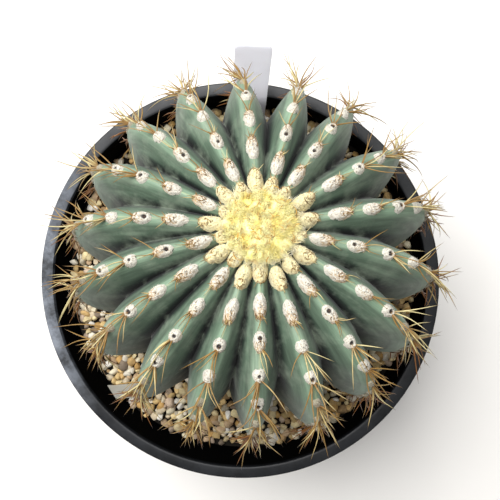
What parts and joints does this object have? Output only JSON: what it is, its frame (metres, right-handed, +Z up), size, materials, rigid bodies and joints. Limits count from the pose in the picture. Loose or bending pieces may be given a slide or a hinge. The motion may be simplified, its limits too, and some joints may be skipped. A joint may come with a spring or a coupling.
{
  "type": "potted barrel cactus",
  "caption": "Blue-green ribbed barrel cactus with a felted crown and fine spines, leaning in a round black nursery pot of gravel with blank plant labels.",
  "frame": {"origin": "centre of the pot's flat base, on the surface it stands on", "axes": "+Z up; +Y is roughly the way the plant leans; +X completes a right-handed frame"},
  "size_m": [0.1871, 0.1941, 0.2485],
  "materials": {
    "pot_plastic": "moulded black polypropylene with dried water marks on the lip",
    "gravel": "dry tan, cream and grey grit",
    "cactus_skin": "waxy blue-green skin with a pale bloom, white felt areoles and straw-yellow spines",
    "crown_felt": "dense cream-yellow plant felt",
    "label_plastic": "blank white plastic"
  },
  "bodies": {
    "root": {"pot": "pot_plastic", "soil": "gravel", "cactus_body": "cactus_skin", "crown_wool": "crown_felt", "label_stake": "label_plastic", "label_scrap": "label_plastic"}
  },
  "joints": []
}
